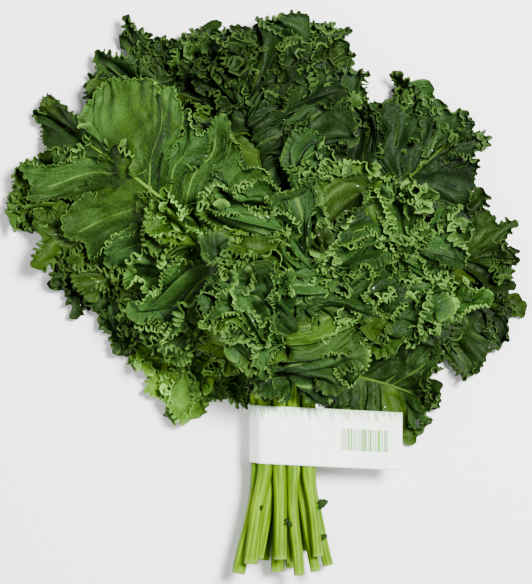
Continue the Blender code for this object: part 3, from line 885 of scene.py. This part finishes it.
def band_path(count):
    """The paper's middle line in XZ as evenly spaced points: in along the flag, round the stems, out again.

    Seen from direction a, a string round circles lies at the furthest circle's middle plus
    radius (cos a, sin a). Returns the points and each one's distance from the flag's end.
    """
    radius = STEM_RADIUS + BAND_SLACK + BAND_WALL / 2
    middles = np.array([stem_place(*leaf[:2]) for leaf in LEAVES])
    a = np.linspace(FLAG_LEAVES, math.pi / 2 - 2 * math.pi + 1e-4, 400)
    looks = np.stack((np.cos(a), np.sin(a)), axis=1)
    ring = middles[np.argmax(looks @ middles.T, axis=1)] + radius * looks
    x, z = stem_place(STEM_ROWS - 1, STEMS_IN_ROW - 1)
    end_x, top = x + radius + BAND_WALL / 2 + FLAG_LENGTH, z + radius
    join = np.array((ring[0, 0] + FLAG_FILLET, top - BAND_WALL))
    t = np.linspace(0, 1, 12)[:, None]
    corner = np.array((ring[0, 0], top - BAND_WALL))
    fillet = (1 - t) ** 2 * join + 2 * t * (1 - t) * corner + t * t * ring[0]
    path = np.concatenate(([(end_x, top - BAND_WALL)], fillet, ring[1:], [(end_x, top)]))
    length = run_length(path)
    even = np.linspace(0, length[-1], count)
    return np.stack([np.interp(even, length, path[:, k]) for k in (0, 1)], axis=1), length[-1] - even


def build_band(finish, settings):
    """The paper band: a flat strip's section, rounded at its edges, carried along the band's path.

    Creases are wander(length) times wander(width), so that they cross the paper on the slant. The flag's end
    also dips a little on one side.
    """
    path, from_end = band_path(BAND_COUNT)
    step = unit(np.gradient(path, axis=0))
    outward = np.stack((step[:, 1], -step[:, 0]), axis=1)
    v = np.concatenate((np.linspace(-1, 1, BAND_ACROSS), np.linspace(1, -1, BAND_ACROSS)))
    side = np.concatenate((np.ones(BAND_ACROSS), -np.ones(BAND_ACROSS)))
    half = settings.paper / 2 * np.sqrt(np.clip(1 - np.abs(v) ** 60, 0.04, 1)) * side
    along = from_end[:, None]
    crease = wander(along * 260 + v * 2.2, 5) * wander(v * 1.7 - along * 40, 6)
    on_flag = smooth_step((path[:, :1] - 0.026) / 0.03)
    out = outward[:, None] * (half + settings.crease * crease * (0.5 + 0.8 * on_flag))[..., None]
    points = np.empty((BAND_COUNT, len(v), 3))
    points[..., 0] = path[:, :1] + out[..., 0]
    points[..., 2] = path[:, 1:] + out[..., 1] + settings.dip * on_flag * (v * 0.6 - 0.3)
    points[..., 2] = np.maximum(points[..., 2], BAND_LOWEST)
    points[..., 1] = v * (BAND_WIDTH / 2 - 0.0002) + BAND_SKEW * path[:, :1]
    wall = quads(BAND_COUNT, len(v), True)[:, (0, 3, 2, 1)]
    j = np.arange(BAND_ACROSS - 1)
    cap = np.stack((j, j + 1, len(v) - 2 - j, len(v) - 1 - j), axis=-1)
    faces = np.concatenate((wall, cap[:, ::-1], cap + (BAND_COUNT - 1) * len(v)))
    uv = np.stack((along.repeat(len(v), 1), points[..., 1] - BAND_SKEW * path[:, :1]), axis=2)
    outer = (side < 0)[None].repeat(BAND_COUNT, 0)
    return new_piece("paper_strip", points, faces, finish, (("outer", outer),), uv)


def band_finish(settings):
    """White paper with a fringe of pale-green blades of grass along its upper edge and made-up plain bars."""
    f = Finish("band_paper", Metallic=0.0, Specular_IOR_Level=0.4, Roughness=0.5)
    from_end, y, _ = f.parts(f.sheet())
    outer = f.attribute("outer")
    fibre = f.noise(f.place(), 900.0, 2.0)
    broad = f.noise(f.place(), 60.0, 2.0)
    colour = f.mix(broad.ramp(0.35, 0.7), rgb(settings.paper_white), rgb(PAPER_SHADE))
    from_edge = BAND_WIDTH / 2 - y
    blades = f.noise(f.join(from_end * 950.0 + from_edge * 260.0, from_edge * 60.0, 0.0), 1.0, 1.0)
    tuft = f.noise(f.join(from_end * 160.0, 0.0, 3.0), 1.0, 1.0)
    fringe = (blades + 0.5 * tuft - from_edge * 38.0).ramp(0.58, 0.66) * outer
    colour = f.mix(fringe * (0.3 + 0.8 * blades), colour, rgb(settings.fringe_green))
    stripe = f.noise(f.join(from_end * 1200.0, 0.0, 9.0), 1.0, 0.0)
    tone = f.noise(f.join(from_end * 300.0, 0.0, 21.0), 1.0, 0.0)
    bars = stripe.ramp(0.44, 0.48) * from_end.ramp(0.0098, 0.0100) * (1 - from_end.ramp(0.0416, 0.0418))
    bars = bars * y.ramp(-0.0080, -0.0078) * (1 - y.ramp(0.0070, 0.0072)) * outer
    colour = f.mix(bars, colour, f.mix(tone.ramp(0.47, 0.53), rgb(BAR_GREY), rgb(BAR_GREEN)))
    f.feed("Base Color", colour)
    f.feed("Normal", f.bump(fibre, 0.0002, 0.4))
    return f.material


class LeafSettings(bpy.types.PropertyGroup):
    """Shape and colours of the blades."""

    lobes: bpy.props.FloatProperty(name="Lobes", description="Scales the number of lobes", default=1.0)
    warp: bpy.props.FloatProperty(
        name="Warp", description="How far lobes bend to and fro", subtype="DISTANCE", default=0.006
    )
    warp_pitch: bpy.props.FloatProperty(
        name="Warp pitch", description="From one bend to the next", subtype="DISTANCE", default=0.050
    )
    rib_lap: bpy.props.FloatProperty(
        name="Lap", description="Size of the folds that lap over a midrib", subtype="DISTANCE", default=0.007
    )
    top_from: bpy.props.FloatProperty(
        name="Top from", description="Where leaf tips start to be drawn in", subtype="DISTANCE", default=0.255
    )
    base_droop: bpy.props.FloatProperty(
        name="Base droop", description="How far base lobes hang back", subtype="DISTANCE", default=0.016
    )
    lobe_overlap: bpy.props.FloatProperty(
        name="Lobe overlap", description="How far lobes spread apart", subtype="DISTANCE", default=0.008
    )
    lobe_tilt: bpy.props.FloatProperty(
        name="Lobe tilt", description="How far lobes tilt like tiles", subtype="DISTANCE", default=0.004
    )
    teeth_per_lobe: bpy.props.FloatProperty(name="Teeth", description="Teeth on each lobe", default=2.6)
    tooth_cut: bpy.props.FloatProperty(name="Tooth cut", description="Share cut between teeth", default=0.16)
    ruffle_height: bpy.props.FloatProperty(name="Ruffles", description="Scales the ruffles", default=1.0)
    blister_height: bpy.props.FloatProperty(
        name="Blisters", description="Height of the blade's soft bumps", subtype="DISTANCE", default=0.0016
    )
    blister_pitch: bpy.props.FloatProperty(
        name="Blister pitch", description="From one soft bump to the next", subtype="DISTANCE", default=0.012
    )
    frill_pitch: bpy.props.FloatProperty(name="Frill pitch", description="Scales frill waves", default=1.0)
    frill_swing: bpy.props.FloatProperty(
        name="Frill swing", description="How far the frill's edge swings, in pitches", default=0.46
    )
    frill_overhang: bpy.props.FloatProperty(
        name="Overhang", description="How far waves of the frill lean over", default=0.13
    )
    frill_rise: bpy.props.FloatProperty(
        name="Frill rise", description="How steeply the frill stands", subtype="ANGLE", default=1.15
    )
    frill_lean: bpy.props.FloatProperty(
        name="Frill lean", description="Width the leaning frill covers", subtype="DISTANCE", default=0.003
    )
    uprightness: bpy.props.FloatProperty(name="Upright", description="How far frills favour up", default=1.2)
    crinkle: bpy.props.FloatProperty(
        name="Crinkle", description="Size of the frill's finest waves", subtype="DISTANCE", default=0.0002
    )
    lip: bpy.props.FloatProperty(name="Lip", description="How far the frill's edge bends out", default=1.0)
    edge_width: bpy.props.FloatProperty(
        name="Edge width", description="Width of the pale edge", subtype="DISTANCE", default=0.0019
    )
    deep_green: bpy.props.FloatVectorProperty(
        name="Deep green", description="Darker blade", subtype="COLOR", default=(0.0033, 0.0150, 0.0005)
    )
    pale_green: bpy.props.FloatVectorProperty(
        name="Pale green", description="Lighter blade", subtype="COLOR", default=(0.0165, 0.0480, 0.0090)
    )
    edge_and_highlight_green: bpy.props.FloatVectorProperty(
        name="Edge green", description="Frilled margin", subtype="COLOR", default=(0.070, 0.152, 0.024)
    )


class StemSettings(bpy.types.PropertyGroup):
    """Colours of the stems and midribs."""

    stem_green: bpy.props.FloatVectorProperty(
        name="Stem green", description="Main stem colour", subtype="COLOR", default=(0.055, 0.135, 0.0)
    )
    stem_streak: bpy.props.FloatVectorProperty(
        name="Streaks", description="Pale streaks along a stem", subtype="COLOR", default=(0.185, 0.330, 0.0)
    )
    rib_green: bpy.props.FloatVectorProperty(
        name="Midrib green", description="Midrib colour", subtype="COLOR", default=(0.070, 0.15, 0.014)
    )


class BandSettings(bpy.types.PropertyGroup):
    """Paper and print of the band."""

    paper: bpy.props.FloatProperty(
        name="Paper", description="Paper thickness", subtype="DISTANCE", default=0.0004
    )
    crease: bpy.props.FloatProperty(
        name="Creases", description="Height of creases", subtype="DISTANCE", default=0.0004
    )
    dip: bpy.props.FloatProperty(
        name="Dip", description="How far the flag dips", subtype="DISTANCE", default=0.0016
    )
    paper_white: bpy.props.FloatVectorProperty(
        name="Paper white", description="Paper colour", subtype="COLOR", default=(0.90, 0.97, 0.90)
    )
    fringe_green: bpy.props.FloatVectorProperty(
        name="Fringe green", description="The printed fringe", subtype="COLOR", default=(0.13, 0.36, 0.07)
    )


class KALE_OT_blades(bpy.types.Operator):
    """Build the ruffled blade of each leaf"""

    bl_idname = "kale.blades"
    bl_label = "Leaf blades"

    def execute(self, context):
        finish = blade_finish(context.scene.kale_leaf)
        for index in range(len(LEAVES)):
            piece = build_blade(index, finish, context.scene.kale_leaf)
            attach(piece, "root")
            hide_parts(f"kale_leaf_{index + 1:02d}")
        return {"FINISHED"}


class KALE_OT_stems(bpy.types.Operator):
    """Build the stem and midrib of each leaf"""

    bl_idname = "kale.stems"
    bl_label = "Stems and midribs"

    def execute(self, context):
        finish = stem_finish(context.scene.kale_stem)
        for index in range(len(LEAVES)):
            piece = build_stem(index, finish)
            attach(piece, "root")
            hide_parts(f"kale_leaf_{index + 1:02d}")
        finish = blade_finish(context.scene.kale_leaf)
        for number, (index, *_) in enumerate(LEAFLETS):
            piece = build_leaflet(number, finish)
            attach(piece, "root")
            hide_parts(f"kale_leaf_{index + 1:02d}")
        return {"FINISHED"}


class KALE_OT_band(bpy.types.Operator):
    """Build the paper band"""

    bl_idname = "kale.band"
    bl_label = "Paper band"

    def execute(self, context):
        settings = context.scene.kale_band
        piece = build_band(band_finish(settings), settings)
        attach(piece, "root")
        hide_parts("paper_band")
        return {"FINISHED"}


class KALE_OT_stage(bpy.types.Operator):
    """Add the floor, the lights and the camera"""

    bl_idname = "kale.stage"
    bl_label = "Stage"

    def execute(self, context):
        scene = context.scene
        finish = Finish("floor", Base_Color=rgb(FLOOR_WHITE), Roughness=0.9)
        a, z = FLOOR_HALF, FLOOR_Z
        corners = np.array(((-a, -a, z), (a, -a, z), (a, a, z), (-a, a, z)))
        floor = new_piece("floor", corners, np.array(((0, 1, 2, 3),)), finish.material)
        world = bpy.data.worlds.new("studio")
        world.use_nodes = True
        sky = world.node_tree.nodes["Background"]
        sky.inputs["Color"].default_value = rgb((1, 1, 1))
        sky.inputs["Strength"].default_value = SKY_STRENGTH
        scene.world = world
        for name, place, size, power in LAMPS:
            light = bpy.data.lights.new(name, "AREA")
            light.size = size
            light.energy = power
            lamp = bpy.data.objects.new(name, light)
            scene.collection.objects.link(lamp)
            lamp.location = place
            x, y, z = np.array(LAMP_AIM) - place
            lamp.rotation_euler = (math.atan2(math.hypot(x, y), -z), 0, math.atan2(y, x) - math.pi / 2)
        camera = bpy.data.cameras.new("camera")
        camera.lens = CAMERA_LENS
        camera.sensor_width = CAMERA_SENSOR
        eye = bpy.data.objects.new("camera", camera)
        scene.collection.objects.link(eye)
        eye.location = CAMERA_PLACE
        scene.camera = eye
        return {"FINISHED"}


class KALE_PT_panel(bpy.types.Panel):
    """Lists the kale bunch's settings and steps"""

    bl_label = "Kale bunch"
    bl_space_type = "VIEW_3D"
    bl_region_type = "UI"
    bl_category = "Kale"

    def draw(self, context):
        for group in (context.scene.kale_leaf, context.scene.kale_stem, context.scene.kale_band):
            for name in group.__annotations__:
                self.layout.prop(group, name)
        for step in STEPS:
            self.layout.operator(step.bl_idname)


STEPS = (KALE_OT_blades, KALE_OT_stems, KALE_OT_band, KALE_OT_stage)
CLASSES = (LeafSettings, StemSettings, BandSettings, *STEPS, KALE_PT_panel)


def register():
    for made in CLASSES:
        bpy.utils.register_class(made)
    bpy.types.Scene.kale_leaf = bpy.props.PointerProperty(type=LeafSettings)
    bpy.types.Scene.kale_stem = bpy.props.PointerProperty(type=StemSettings)
    bpy.types.Scene.kale_band = bpy.props.PointerProperty(type=BandSettings)


def unregister():
    del bpy.types.Scene.kale_band
    del bpy.types.Scene.kale_stem
    del bpy.types.Scene.kale_leaf
    for made in reversed(CLASSES):
        bpy.utils.unregister_class(made)


def main():
    register()
    bpy.ops.kale.blades()
    bpy.ops.kale.stems()
    bpy.ops.kale.band()
    bpy.ops.kale.stage()


if __name__ == "__main__":
    main()
